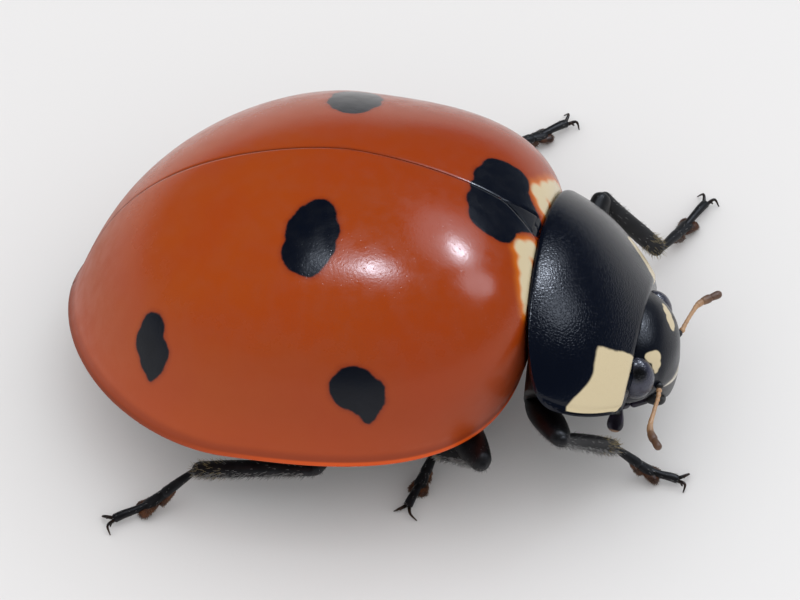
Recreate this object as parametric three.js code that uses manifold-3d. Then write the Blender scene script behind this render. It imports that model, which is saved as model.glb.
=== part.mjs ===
// Seven-spot ladybird, life size, standing on six feet with its right side held a little higher.
// Millimetres, +X towards the head, +Y towards its left side, +Z up, the floor at z = 0.
// The trunk is shaped in a body frame whose plane z = 0 holds the side margins of the wing cases.
// That frame is then rolled and lifted over the floor.

import * as THREE from 'three';
import { mergeVertices } from 'three/addons/utils/BufferGeometryUtils.js';
import Module from 'manifold-3d';

const wasm = await Module();
wasm.setup();

const { lerp, clamp, degToRad } = THREE.MathUtils;
const at = (x, y, z) => new THREE.Vector3(x, y, z);

// ---- Driving dimensions ----------------------------------------------------------------------

const HALF_WIDTH = 2.9; // wing cases, midline to side margin
const DOME_HEIGHT = 2.8; // wing cases, margin plane to top
const DOME_FRONT = 3.38; // wing cases, widest line to shoulder line
const DOME_REAR = 2.54; // wing cases, widest line to tip
const FRONT_SQUARENESS = 3.0; // exponent of the outline at the shoulders
const REAR_SQUARENESS = 1.81; // exponent of the outline at the tip
const TOP_FORWARD = 0.99; // how far the highest point lies ahead of the widest line
const SIDE_FULLNESS = 1.24; // exponent that draws the outline in with height
const SIDE_STEEPNESS = 0.6; // exponent that makes the lower sides steep
const RIM_LIFT = 0.009; // rise of the margin per square millimetre of distance along X
const SHELL = 0.5; // thickness of a wing case

const BELLY_DEPTH = 0.65; // hind body under the margin plane
const BELLY_CENTRE = 0.5; // deepest place of the belly along X
const BELLY_ROUNDNESS = 0.8; // exponent of the belly's depth, 1 for an ellipse
const WAIST = 0.85; // where hind thorax and abdomen meet

const ROLL_DEGREES = 9; // right side up
const STANDING_HEIGHT = 0.94; // margin plane over the floor, at the midline

const SEAM = 0.02; // gap between touching shell plates
const GAP = 0.03; // gap left round a piece that is cut by its neighbour
const WELD = 1e-4; // vertices closer than this are one
const LIMB_SIDES = 8;
const CAP_RINGS = 2; // rings in each rounded end of a limb

// How finely each curved solid is divided.
const BALL = { around: 16, upwards: 10 };
const EYEBALL = { around: 12, upwards: 8 };
const HIND_BODY = { around: 24, upwards: 12 };
const WING_CASE_STEPS = [21, 9]; // round the margin, from the margin to the top
const RING_CROWDING = 1.6; // packs the wing cases' rings towards the steep margin
const SHIELD_STEPS = [7, 16]; // rear to front, side to side
const PROTHORAX_STEPS = [5, 14];
const LIMB_STEPS = 3;
const ANTENNA_STEPS = 5;

// The shield over the forebody: its two crest points on the midline and its two left corners.
const SHIELD = {
  rearCrest: { x: 3.46, z: 1.95 },
  frontCrest: { x: 4.86, z: 0.88 },
  rearCorner: { x: 3.66, y: 1.98, z: 0.88 },
  frontCorner: { x: 4.78, y: 1.31, z: 0.3 },
  bulge: 0.2,
  thickness: 0.32,
  edge: 0.14,
  archPower: 1.3, // steepness of its sides
  taperPower: 2.2, // how late it narrows towards the head
  cornerPower: 0.8, // how early its margin drops towards the head
};

// The forebody under the shield: reach is its share of the shield's length.
const PROTHORAX = { inset: 0.12, reach: 0.94, depth: 0.55, rear: 3.45, front: 4.45, keel: 1.2 };

// The front of the hind thorax, which joins the hind body to the forebody.
const THORAX_CORE = { centre: at(2.9, 0, 0.3), radii: at(0.66, 1.7, 0.85) };
const SCUTELLUM = { tip: 2.98, base: 3.5, halfWidth: 0.24, floor: 1.6, top: 2.3 };

const HEAD = { centre: at(4.61, 0, 0.29), radii: at(0.675, 0.86, 0.66) };
const EYE = { centre: at(4.84, 0.7, 0.34), radii: at(0.245, 0.21, 0.3) };
const MOUTH = { centre: at(5.1, 0, -0.16), radii: at(0.19, 0.38, 0.25) };
const PALP = [at(5.0, 0.36, -0.36), at(4.78, 0.52, -0.42), at(4.6, 0.72, -0.5)];
const ANTENNAE = {
  right: [at(5.12, -0.5, 0.14), at(5.13, -0.86, 0), at(5.11, -1.14, -0.1), at(5.29, -1.46, -0.13)],
  left: [at(5.12, 0.5, 0.14), at(5.28, 0.92, 0.16), at(5.36, 1.2, 0.18), at(5.6, 1.46, 0.18)],
};

// Each leg's joints in the body frame. The toes are then set level on the floor.
const LEGS = {
  front_right: {
    hip: at(3.55, -0.5, -0.4),
    knee: at(4.12, -2.07, 0.29),
    ankle: at(4.65, -1.0, -0.57),
    toe: at(5.49, -0.93, -1.02),
  },
  middle_right: {
    hip: at(2.5, -0.8, -0.45),
    knee: at(3.12, -2.25, -0.1),
    ankle: at(2.42, -1.25, -0.8),
    toe: at(2.2, -2.0, -1.2),
  },
  hind_right: {
    hip: at(1.2, -0.8, -0.45),
    knee: at(1.07, -2.59, -0.32),
    ankle: at(-0.45, -2.35, -0.76),
    toe: at(-1.41, -2.87, -1.33),
  },
  front_left: {
    hip: at(3.55, 0.5, -0.35),
    knee: at(3.9, 2.28, 0.85),
    ankle: at(4.62, 2.66, -0.18),
    toe: at(5.04, 3.88, -0.24),
  },
  middle_left: {
    hip: at(2.5, 0.8, -0.35),
    knee: at(2.62, 2.7, -0.12),
    ankle: at(2.37, 4.18, 0.03),
    toe: at(3.01, 4.98, -0.09),
  },
  hind_left: {
    hip: at(1.2, 0.8, -0.35),
    knee: at(0.95, 2.65, -0.2),
    ankle: at(-0.35, 3.3, -0.1),
    toe: at(-1.15, 4.0, -0.25),
  },
};
const FEELER = {
  palp: { root: 0.16, middle: 0.2, end: 0.22 },
  antenna: { root: 0.18, middle: 0.2, end: 0.24 },
};
const FEMUR = { root: 0.24, middle: 0.27, end: 0.23 };
const TIBIA = { root: 0.22, middle: 0.24, end: 0.24 };
const TARSUS = { root: 0.22, middle: 0.24, end: 0.22 };
const TOE_HEIGHT = 0.17; // middle of the foot's end over the floor, so that it rests on a flat

const PAINT = {
  orange: new THREE.MeshStandardMaterial({ color: 0xa8460f, roughness: 0.28, metalness: 0 }),
  black: new THREE.MeshStandardMaterial({ color: 0x14161c, roughness: 0.35, metalness: 0 }),
  dull: new THREE.MeshStandardMaterial({ color: 0x1a1917, roughness: 0.6, metalness: 0 }),
  eye: new THREE.MeshStandardMaterial({ color: 0x2a2f38, roughness: 0.2, metalness: 0 }),
  amber: new THREE.MeshStandardMaterial({ color: 0x8a5a26, roughness: 0.5, metalness: 0 }),
};

// ---- Making closed solids --------------------------------------------------------------------

function toSolid(geometry) {
  geometry.deleteAttribute('normal');
  geometry.deleteAttribute('uv');
  const welded = mergeVertices(geometry, WELD);
  const index = welded.index.array;
  const corners = [];
  for (let i = 0; i < index.length; i += 3) {
    const [a, b, c] = index.subarray(i, i + 3);
    if (a !== b && b !== c && c !== a) corners.push(a, b, c);
  }
  const vertProperties = new Float32Array(welded.attributes.position.array);
  const triVerts = new Uint32Array(corners);
  return new wasm.Manifold(new wasm.Mesh({ numProp: 3, vertProperties, triVerts }));
}

// Moves every vertex of a closed three.js geometry by a function and welds the result.
function bend(geometry, move) {
  const places = geometry.attributes.position;
  for (let i = 0; i < places.count; i++) {
    const moved = move(at(places.getX(i), places.getY(i), places.getZ(i)));
    places.setXYZ(i, moved.x, moved.y, moved.z);
  }
  return toSolid(geometry);
}

// A closed sheet between two surfaces that are functions of u and v, both from 0 to 1.
function sheet(outer, inner, [stepsU, stepsV]) {
  const block = new THREE.BoxGeometry(1, 1, 1, stepsU, stepsV, 1);
  return bend(block, (p) => (p.z > 0 ? outer : inner)(p.x + 0.5, p.y + 0.5));
}

// A closed body round an axis: longitude from -pi to pi, latitude from -pi/2 (below) to pi/2.
function globe(surface, { around, upwards }) {
  const ball = new THREE.SphereGeometry(1, around, upwards).rotateX(Math.PI / 2);
  return bend(ball, (p) => surface(Math.atan2(p.y, p.x), Math.asin(clamp(p.z, -1, 1))));
}

function ellipsoid({ centre, radii }, grow = 0, { around, upwards } = BALL) {
  const size = radii.clone().addScalar(grow);
  return bend(new THREE.SphereGeometry(1, around, upwards), (p) => p.multiply(size).add(centre));
}

// A round-ended limb along a smooth line through its points, with its radius at the root, in the
// middle and at the end.
function limb(points, { root, middle, end }, grow = 0, steps = LIMB_STEPS) {
  const line = new THREE.CatmullRomCurve3(points, false, 'centripetal');
  const rings = steps + 2 * CAP_RINGS;
  const rod = new THREE.CylinderGeometry(1, 1, 1, LIMB_SIDES, rings);
  return bend(rod, (p) => {
    const ring = Math.round((p.y + 0.5) * rings);
    const way = clamp((ring - CAP_RINGS) / steps, 0, 1);
    const past = ring - CAP_RINGS - way * steps;
    const capAngle = (past / CAP_RINGS) * (Math.PI / 2);
    const swell = lerp(lerp(root, middle, way), lerp(middle, end, way), way);
    const size = swell + grow;
    const axis = line.getTangentAt(way);
    const side = at(0, 0, 1).cross(axis).normalize();
    const up = axis.clone().cross(side);
    const width = size * Math.cos(capAngle);
    return line
      .getPointAt(way)
      .addScaledVector(axis, size * Math.sin(capAngle))
      .addScaledVector(side, -p.x * width)
      .addScaledVector(up, p.z * width);
  });
}

// Cuts a solid free of its neighbours and keeps the largest body that is left.
function cut(solid, ...neighbours) {
  const rest = neighbours.reduce((left, neighbour) => left.subtract(neighbour), solid);
  return rest.decompose().sort((a, b) => b.volume() - a.volume())[0];
}

function join(first, ...others) {
  return others.reduce((whole, other) => whole.add(other), first);
}

// ---- Trunk, in the body frame ----------------------------------------------------------------

function outlineRadius(longitude, inset) {
  const c = Math.cos(longitude);
  const s = Math.sin(longitude);
  const reach = (c >= 0 ? DOME_FRONT : DOME_REAR) - inset;
  const power = c >= 0 ? FRONT_SQUARENESS : REAR_SQUARENESS;
  const along = Math.abs(c / reach) ** power;
  const across = Math.abs(s / (HALF_WIDTH - inset)) ** power;
  return (along + across) ** (-1 / power);
}

// The wing cases' surface, or one that lies a given depth inside it.
function dome(longitude, latitude, inset = 0) {
  const radius = outlineRadius(longitude, inset);
  const drawnIn = Math.max(Math.cos(latitude), 0) ** SIDE_FULLNESS;
  const risen = Math.sin(latitude) ** SIDE_STEEPNESS;
  const marginX = radius * Math.cos(longitude);
  const x = marginX * drawnIn + TOP_FORWARD * risen;
  const y = radius * Math.sin(longitude) * drawnIn;
  return at(x, y, RIM_LIFT * marginX ** 2 * (1 - risen) + (DOME_HEIGHT - inset) * risen);
}

// The left wing case: half of the dome, a shell with a flat rim below.
function wingCaseSolid(grow = 0) {
  const latitude = (v) => (Math.PI / 2) * v ** RING_CROWDING;
  const surface = (inset) => (u, v) => dome(Math.PI * u, latitude(v), inset);
  const half = sheet(surface(-grow), surface(SHELL + grow), WING_CASE_STEPS);
  return half.translate([0, SEAM / 2, 0]);
}

// Hind thorax and abdomen: the space under the wing cases, closed by the belly.
function hindBodySolid(grow = 0) {
  const inset = SHELL + GAP - grow;
  const surface = (longitude, latitude) => {
    if (latitude >= 0) return dome(longitude, latitude, inset);
    const rim = dome(longitude, 0, inset);
    const sunk = Math.sin(-latitude) ** BELLY_ROUNDNESS;
    const drawnIn = Math.cos(latitude);
    const x = rim.x * drawnIn + BELLY_CENTRE * sunk;
    return at(x, rim.y * drawnIn, rim.z * (1 - sunk) - (BELLY_DEPTH + grow) * sunk);
  };
  return globe(surface, HIND_BODY);
}

// A place on the shield, or under it by some depth. u runs from its rear edge to its front edge,
// v from its right margin to its left one.
function shieldPoint(u, v, depth = 0, narrower = 0) {
  const { rearCrest, frontCrest, rearCorner, frontCorner, bulge } = SHIELD;
  const inside = clamp(u, 0, 1);
  const lean = (v - 0.5) * Math.PI;
  const arch = Math.max(Math.cos(lean), 0) ** SHIELD.archPower;
  const narrowing = inside ** SHIELD.taperPower;
  const halfWidth = lerp(rearCorner.y, frontCorner.y, narrowing) - narrower;
  const cornerX = lerp(rearCorner.x, frontCorner.x, u);
  const cornerZ = lerp(rearCorner.z, frontCorner.z, inside ** SHIELD.cornerPower);
  const crestX = lerp(rearCrest.x, frontCrest.x, u);
  const crestZ = lerp(rearCrest.z, frontCrest.z, u) + bulge * 4 * u * (1 - u);
  const z = lerp(cornerZ, crestZ, arch) - depth;
  return at(lerp(cornerX, crestX, arch), halfWidth * Math.sin(lean), z);
}

function shieldSolid(grow = 0) {
  const depth = (v) => lerp(SHIELD.edge, SHIELD.thickness, Math.sin(v * Math.PI)) + grow;
  const along = (u) => lerp(-grow, 1 + grow, u);
  const outer = (u, v) => shieldPoint(along(u), v, -grow, -grow);
  const inner = (u, v) => shieldPoint(along(u), v, depth(v), -grow);
  return sheet(outer, inner, SHIELD_STEPS);
}

// Prothorax: what the shield covers, closed by the breast between the front legs.
function prothoraxSolid(grow = 0) {
  const under = SHIELD.thickness + SEAM - grow;
  const along = (u) => lerp(-grow, PROTHORAX.reach + grow, u);
  const roof = (u, v) => shieldPoint(along(u), v, under, PROTHORAX.inset - grow);
  const breast = (u, v) => {
    const edge = roof(u, v);
    const sunk = Math.sin(v * Math.PI) ** PROTHORAX.keel;
    const x = lerp(edge.x, lerp(PROTHORAX.rear, PROTHORAX.front, along(u)), sunk);
    return at(x, edge.y, lerp(edge.z - SEAM, -PROTHORAX.depth, sunk) - grow);
  };
  return sheet(roof, breast, PROTHORAX_STEPS);
}

function scutellumSolid(grow = 0) {
  const { tip, base, halfWidth, floor, top } = SCUTELLUM;
  const corners = [
    new THREE.Vector2(tip - 2 * grow, 0),
    new THREE.Vector2(base + grow, -halfWidth - grow),
    new THREE.Vector2(base + grow, halfWidth + grow),
  ];
  const prism = new THREE.ExtrudeGeometry(new THREE.Shape(corners), {
    depth: top - floor + grow,
    bevelEnabled: false,
  });
  return toSolid(prism.translate(0, 0, floor - grow));
}

// From the body frame to the frame of the floor, for a solid and for a point.
const stand = (solid) => solid.rotate([-ROLL_DEGREES, 0, 0]).translate([0, 0, STANDING_HEIGHT]);

function standPoint(p) {
  const rolled = p.clone().applyAxisAngle(at(1, 0, 0), -degToRad(ROLL_DEGREES));
  return rolled.add(at(0, 0, STANDING_HEIGHT));
}

const twin = (solid) => solid.mirror([0, 1, 0]);

const pieces = {}; // every node's solid and colour, by name

function addTrunk() {
  const shieldRoom = shieldSolid(GAP);
  const prothoraxRoom = prothoraxSolid(GAP);
  const headRoom = ellipsoid(HEAD, GAP);
  const scutellumRoom = scutellumSolid(GAP);
  const core = ellipsoid(THORAX_CORE);

  const wingCase = cut(
    wingCaseSolid(),
    shieldRoom,
    prothoraxRoom,
    ellipsoid(THORAX_CORE, GAP),
    scutellumRoom,
  );
  const block = join(wingCaseSolid(), twin(wingCaseSolid()), hindBodySolid(GAP), core);
  const hindBody = cut(join(hindBodySolid(), core), prothoraxRoom, shieldRoom, scutellumRoom);
  const eye = ellipsoid(EYE, 0, EYEBALL);
  const eyeRoom = ellipsoid(EYE, SEAM, EYEBALL);
  const head = cut(ellipsoid(HEAD), shieldRoom, eyeRoom, twin(eyeRoom));
  const mouth = cut(ellipsoid(MOUTH, 0, EYEBALL), headRoom);

  pieces.elytron_left = [wingCase, PAINT.orange];
  pieces.elytron_right = [twin(wingCase), PAINT.orange];
  pieces.scutellum = [cut(scutellumSolid().intersect(block), shieldRoom, prothoraxRoom), PAINT.black];
  pieces.pronotum = [shieldSolid(), PAINT.black];
  pieces.prothorax = [cut(prothoraxSolid(), headRoom, shieldRoom), PAINT.dull];
  pieces.metathorax = [hindBody.trimByPlane([1, 0, 0], WAIST + SEAM / 2), PAINT.dull];
  pieces.abdomen = [hindBody.trimByPlane([-1, 0, 0], SEAM / 2 - WAIST), PAINT.dull];
  pieces.head = [head, PAINT.black];
  pieces.mouthparts = [mouth, PAINT.dull];
  pieces.eye_left = [eye, PAINT.eye];
  pieces.eye_right = [twin(eye), PAINT.eye];
}

// Everything on the trunk that a limb has to keep clear of.
function trunkRoom() {
  const eyeRoom = ellipsoid(EYE, GAP, EYEBALL);
  const wingRoom = wingCaseSolid(GAP);
  return join(
    wingRoom,
    twin(wingRoom),
    wingRoom.translate([0, 0, -GAP]),
    twin(wingRoom).translate([0, 0, -GAP]),
    hindBodySolid(GAP),
    ellipsoid(THORAX_CORE, GAP),
    shieldSolid(GAP),
    prothoraxSolid(GAP),
    ellipsoid(HEAD, GAP),
    ellipsoid(MOUTH, GAP, EYEBALL),
    eyeRoom,
    twin(eyeRoom),
  );
}

// Palps and antennae. The room they take is returned, for the legs to keep clear of.
function addFeelers(room) {
  const palp = (grow) => limb(PALP, FEELER.palp, grow);
  pieces.palp_left = [cut(palp(0), room), PAINT.dull];
  pieces.palp_right = [twin(pieces.palp_left[0]), PAINT.dull];
  const taken = [palp(GAP), twin(palp(GAP))];
  for (const [side, points] of Object.entries(ANTENNAE)) {
    const antenna = (grow) => limb(points, FEELER.antenna, grow, ANTENNA_STEPS);
    pieces[`antenna_${side}`] = [cut(antenna(0), room), PAINT.amber];
    taken.push(antenna(GAP));
  }
  return join(...taken);
}

// A leg is made over the floor: thigh, shin and foot, each cut free of the one before it.
function legPieces({ hip, knee, ankle, toe }, room) {
  const [h, k, a] = [hip, knee, ankle].map(standPoint);
  const t = standPoint(toe).setZ(TOE_HEIGHT);
  const femur = cut(limb([h, k], FEMUR), room);
  const tibia = cut(limb([k, a], TIBIA), limb([h, k], FEMUR, GAP), room);
  const tarsus = cut(limb([a, t], TARSUS), limb([k, a], TIBIA, GAP), room);
  return { femur, tibia, tarsus: tarsus.trimByPlane([0, 0, 1], 0) };
}

function addLegs(room) {
  for (const [leg, joints] of Object.entries(LEGS)) {
    for (const [segment, solid] of Object.entries(legPieces(joints, room))) {
      pieces[`${segment}_${leg}`] = [solid, PAINT.dull];
    }
  }
}

addTrunk();
const trunk = trunkRoom();
const feelers = addFeelers(trunk);
for (const entry of Object.values(pieces)) entry[0] = stand(entry[0]);
addLegs(stand(trunk.add(feelers)));

const ladybird = new THREE.Group();
for (const [name, [solid, paint]] of Object.entries(pieces)) {
  const made = solid.getMesh();
  const geometry = new THREE.BufferGeometry();
  geometry.setAttribute('position', new THREE.BufferAttribute(made.vertProperties, 3));
  geometry.setIndex(new THREE.BufferAttribute(made.triVerts, 1));
  const mesh = new THREE.Mesh(geometry, paint);
  mesh.name = name;
  ladybird.add(mesh);
}

// The origin goes to the middle of the model's footprint.
const middle = new THREE.Box3().setFromObject(ladybird, true).getCenter(at(0, 0, 0));
ladybird.position.set(-middle.x, -middle.y, 0);

export default ladybird;
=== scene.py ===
"""The looks of a seven-spot ladybird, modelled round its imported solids.

Shapes are worked out in millimetres. The body frame has +X towards the head, +Y towards the animal's
left, +Z up, and z = 0 at the side margins of the wing cases. stand() turns it into the floor frame,
in millimetres, and make_piece() goes from there to Blender's metres.
"""

from math import acos, atan, cos, pi, radians, sin

import bmesh
import bpy
import numpy as np
from mathutils import Matrix, Vector


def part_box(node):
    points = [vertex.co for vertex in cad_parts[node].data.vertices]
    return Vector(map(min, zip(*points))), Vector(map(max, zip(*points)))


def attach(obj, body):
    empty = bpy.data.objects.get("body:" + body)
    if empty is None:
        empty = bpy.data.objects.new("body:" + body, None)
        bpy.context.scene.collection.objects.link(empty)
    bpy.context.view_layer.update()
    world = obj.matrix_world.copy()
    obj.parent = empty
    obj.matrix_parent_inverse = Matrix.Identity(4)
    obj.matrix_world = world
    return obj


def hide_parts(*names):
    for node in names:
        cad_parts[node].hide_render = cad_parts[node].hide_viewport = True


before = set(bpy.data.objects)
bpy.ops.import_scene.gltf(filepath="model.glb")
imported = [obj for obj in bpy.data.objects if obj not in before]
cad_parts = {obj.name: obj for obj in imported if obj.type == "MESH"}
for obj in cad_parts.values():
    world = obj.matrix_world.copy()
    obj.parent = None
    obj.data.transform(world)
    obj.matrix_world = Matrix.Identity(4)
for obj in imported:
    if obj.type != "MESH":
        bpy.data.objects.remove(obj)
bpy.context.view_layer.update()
scene = bpy.context.scene

MM = 0.001
SEED = 7

# ---- Sizes, in millimetres in the body frame ---------------------------------------------------

HALF_WIDTH = 2.9  # wing cases, midline to side margin
DOME_HEIGHT = 2.8
DOME_FRONT = 3.38  # wing cases, widest line to shoulder line
DOME_REAR = 2.54  # wing cases, widest line to tip
FRONT_SQUARENESS = 3.0
REAR_SQUARENESS = 1.81
TOP_FORWARD = 0.99
SIDE_FULLNESS = 1.24
SIDE_STEEPNESS = 0.6
RIM_LIFT = 0.009
SHELL = 0.45  # width of the ledge under the wing cases' margin

ROLL = radians(9)  # the right side is held higher
EYE = {"centre": (4.84, 0.7, 0.34), "radii": (0.24, 0.205, 0.295)}
HEAD = {"centre": (4.61, 0.0, 0.29), "radii": (0.675, 0.86, 0.66)}

SHIELD = {
    "rear_crest": (3.46, 1.95),
    "front_crest": (4.86, 0.88),
    "rear_corner": (3.66, 1.98, 0.88),
    "front_corner": (4.78, 1.31, 0.3),
    "bulge": 0.2,
    "thickness": 0.32,
    "edge": 0.05,
    "arch_power": 1.3,
    "taper_power": 2.2,
    "corner_power": 0.8,
    "rear_roundness": 3.4,
    "front_roundness": 9.0,
}

UP = np.array([0.0, 0.0, 1.0])

# ---- Small maths -------------------------------------------------------------------------------


def unit(vectors):
    vectors = np.asarray(vectors, float)
    return vectors / np.linalg.norm(vectors, axis=-1, keepdims=True)


def mix(a, b, share):
    return a + (b - a) * share


def ease(x, low, high):
    """0 below low, 1 above high, and a smooth step between them."""
    t = np.clip((x - low) / (high - low), 0, 1)
    return t * t * (3 - 2 * t)


def bell(x, centre, width):
    return np.exp(-(((x - centre) / width) ** 2))


def lower_of(a, b, softness):
    """The lower of two values, with a rounded corner where they cross."""
    return -softness * np.logaddexp(-a / softness, -b / softness)


def smooth_line(points, ways):
    """Places along a Catmull-Rom line through the points, for ways from 0 to 1."""
    points = np.asarray(points, float)
    first = 2 * points[0] - points[1]
    last = 2 * points[-1] - points[-2]
    knots = np.vstack([first, points, last])
    spans = len(points) - 1
    scaled = np.clip(np.asarray(ways, float), 0, 1) * spans
    index = np.minimum(scaled.astype(int), spans - 1)
    t = (scaled - index)[..., None]
    a, b, c, d = (knots[index + k] for k in range(4))
    cubic = (-a + 3 * b - 3 * c + d) * t**3
    square = (2 * a - 5 * b + 4 * c - d) * t**2
    return 0.5 * (2 * b + (c - a) * t + square + cubic)


# ---- From the body frame to the floor ------------------------------------------------------------

TILT = np.array([[1, 0, 0], [0, cos(ROLL), sin(ROLL)], [0, -sin(ROLL), cos(ROLL)]])


def body_offset():
    """The body frame's origin in the floor frame, found from where the two eyes are."""
    corners = [corner for side in ("left", "right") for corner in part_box("eye_" + side)]
    middle = np.mean([tuple(corner) for corner in corners], axis=0) / MM
    x, _, z = EYE["centre"]
    return middle - TILT @ np.array([x, 0, z])


OFFSET = body_offset()


def stand(points):
    return np.asarray(points, float) @ TILT.T + OFFSET


def unstand(points):
    return (np.asarray(points, float) - OFFSET) @ TILT


# ---- Meshes ------------------------------------------------------------------------------------


class Surface:
    """Grids of points in floor millimetres, gathered into one closed mesh."""

    def __init__(self):
        self.points = []
        self.ways = []
        self.faces = []
        self.count = 0

    def add_points(self, grid, ways):
        start = self.count
        rows, columns = grid.shape[:2]
        self.points.append(grid.reshape(-1, 3))
        self.ways.append(np.asarray(ways, float).reshape(-1, 2))
        self.count += rows * columns
        return start + np.arange(rows * columns).reshape(rows, columns)

    def add_quads(self, index):
        a, b = index[:-1, :-1], index[1:, :-1]
        c, d = index[1:, 1:], index[:-1, 1:]
        self.faces.extend(np.stack([a, b, c, d], -1).reshape(-1, 4).tolist())

    def add_shell(self, outer, inner, ways):
        """Two sheets with as many rows and columns, joined round their edges."""
        top = self.add_points(outer, ways)
        under = self.add_points(inner, ways)
        self.add_quads(top)
        self.add_quads(under[:, ::-1])
        for edge in (np.s_[0, :], np.s_[-1, :], np.s_[:, 0], np.s_[:, -1]):
            self.add_quads(np.stack([top[edge], under[edge]]))

    def add_tube(self, rings, ways):
        """Rings of points, whose first and last ring are each drawn in to one point."""
        index = self.add_points(rings, ways)
        self.add_quads(np.hstack([index, index[:, :1]]))


def grid_ways(rows, columns):
    across, along = np.meshgrid(np.linspace(0, 1, columns), np.linspace(0, 1, rows))
    return np.stack([along, across], -1)


def make_mesh(name, surface):
    """Welds a surface's doubled points, turns its faces outwards and keeps its places as attributes."""
    points = np.vstack(surface.points)
    mesh = bpy.data.meshes.new(name)
    mesh.from_pydata((points * MM).tolist(), [], surface.faces)
    places = mesh.attributes.new("body", "FLOAT_VECTOR", "POINT")
    places.data.foreach_set("vector", unstand(points).ravel())
    ways = np.vstack(surface.ways)
    for column, attribute in enumerate(("along", "across")):
        values = mesh.attributes.new(attribute, "FLOAT", "POINT")
        values.data.foreach_set("value", ways[:, column])
    work = bmesh.new()
    work.from_mesh(mesh)
    bmesh.ops.remove_doubles(work, verts=work.verts, dist=WELD)
    bmesh.ops.dissolve_degenerate(work, dist=WELD / 2, edges=work.edges)
    bmesh.ops.recalc_face_normals(work, faces=work.faces)
    work.to_mesh(mesh)
    work.free()
    return mesh


WELD = 2e-7
SHARP = radians(50)


def make_piece(name, surface, material, slot, *nodes):
    """One piece of the model, in the finish it is given, standing for the nodes it is named with."""
    mesh = make_mesh(name, surface)
    mesh.shade_smooth()
    mesh.set_sharp_from_angle(angle=SHARP)
    mesh.materials.append(material)
    return enrol(name, mesh, slot, *nodes)


def enrol(name, mesh, slot, *nodes):
    piece = bpy.data.objects.new(name, mesh)
    scene.collection.objects.link(piece)
    if nodes:
        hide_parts(*nodes)
    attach(piece, "root")
    return piece


class Limb:
    """A limb with round ends along a smooth line, in floor millimetres.

    widths and depths are its half sizes at equal steps, and side is the direction its width takes.
    """

    def __init__(self, line, widths, depths, side, squareness=2.0):
        self.line = np.asarray(line, float)
        self.widths = np.asarray(widths, float)
        self.depths = np.asarray(depths, float)
        self.side = np.asarray(side, float)
        self.power = 2.0 / squareness
        self.length = np.linalg.norm(np.diff(self.line, axis=0), axis=1).sum()

    def sizes(self, way, sizes):
        steps = np.linspace(0, 1, len(sizes))
        cap = min(sizes[0] / self.length, 0.4)
        end = min(sizes[-1] / self.length, 0.4)
        rounding = np.sqrt(np.clip(1 - (1 - np.clip(way / cap, 0, 1)) ** 2, 0, 1))
        rounding = rounding * np.sqrt(np.clip(1 - (1 - np.clip((1 - way) / end, 0, 1)) ** 2, 0, 1))
        return smooth_line(sizes[:, None], way)[..., 0] * rounding if len(steps) > 1 else rounding

    def place(self, way, angle, lift=0.0):
        """Points at a way along the limb and an angle round it, and the outward directions there."""
        way = np.asarray(way, float)
        step = 0.01
        middle = smooth_line(self.line, way)
        axis = unit(smooth_line(self.line, way + step) - smooth_line(self.line, way - step))
        side = unit(self.side - axis * (axis @ self.side)[..., None])
        top = np.cross(axis, side)
        c, s = np.cos(angle), np.sin(angle)
        c = np.sign(c) * np.abs(c) ** self.power
        s = np.sign(s) * np.abs(s) ** self.power
        wide = (self.sizes(way, self.widths) * c)[..., None] * side
        deep = (self.sizes(way, self.depths) * s)[..., None] * top
        outward = unit(c[..., None] * side + s[..., None] * top)
        return middle + wide + deep + lift * outward, outward, axis

    def add_to(self, surface, rings=28, sides=20, shift=None):
        ways = 0.5 - 0.5 * np.cos(np.linspace(0, pi, rings))
        angles = np.linspace(0, 2 * pi, sides, endpoint=False)
        way, angle = np.meshgrid(ways, angles, indexing="ij")
        points, _, _ = self.place(way, angle)
        if shift is not None:
            points = points + shift(way, angle)
        surface.add_tube(points, np.stack([way, angle / (2 * pi)], -1))
        return surface


def ball(surface, centre, radii, around=32, upwards=20, shape=None):
    """An egg shape in body millimetres, added to a surface. shape may move its points."""
    longitude = np.linspace(-pi, pi, around, endpoint=False)
    latitude = np.linspace(-pi / 2, pi / 2, upwards)
    lat, lon = np.meshgrid(latitude, longitude, indexing="ij")
    direction = np.stack([np.cos(lat) * np.cos(lon), np.cos(lat) * np.sin(lon), np.sin(lat)], -1)
    points = np.asarray(centre) + direction * np.asarray(radii)
    if shape is not None:
        points = shape(points, direction)
    ways = np.stack([lat / pi + 0.5, lon / (2 * pi) + 0.5], -1)
    surface.add_tube(stand(points), ways)
    return surface


def mirrored(point):
    x, y, z = point
    return (x, -y, z)


# ---- Shader graphs -----------------------------------------------------------------------------


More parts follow.
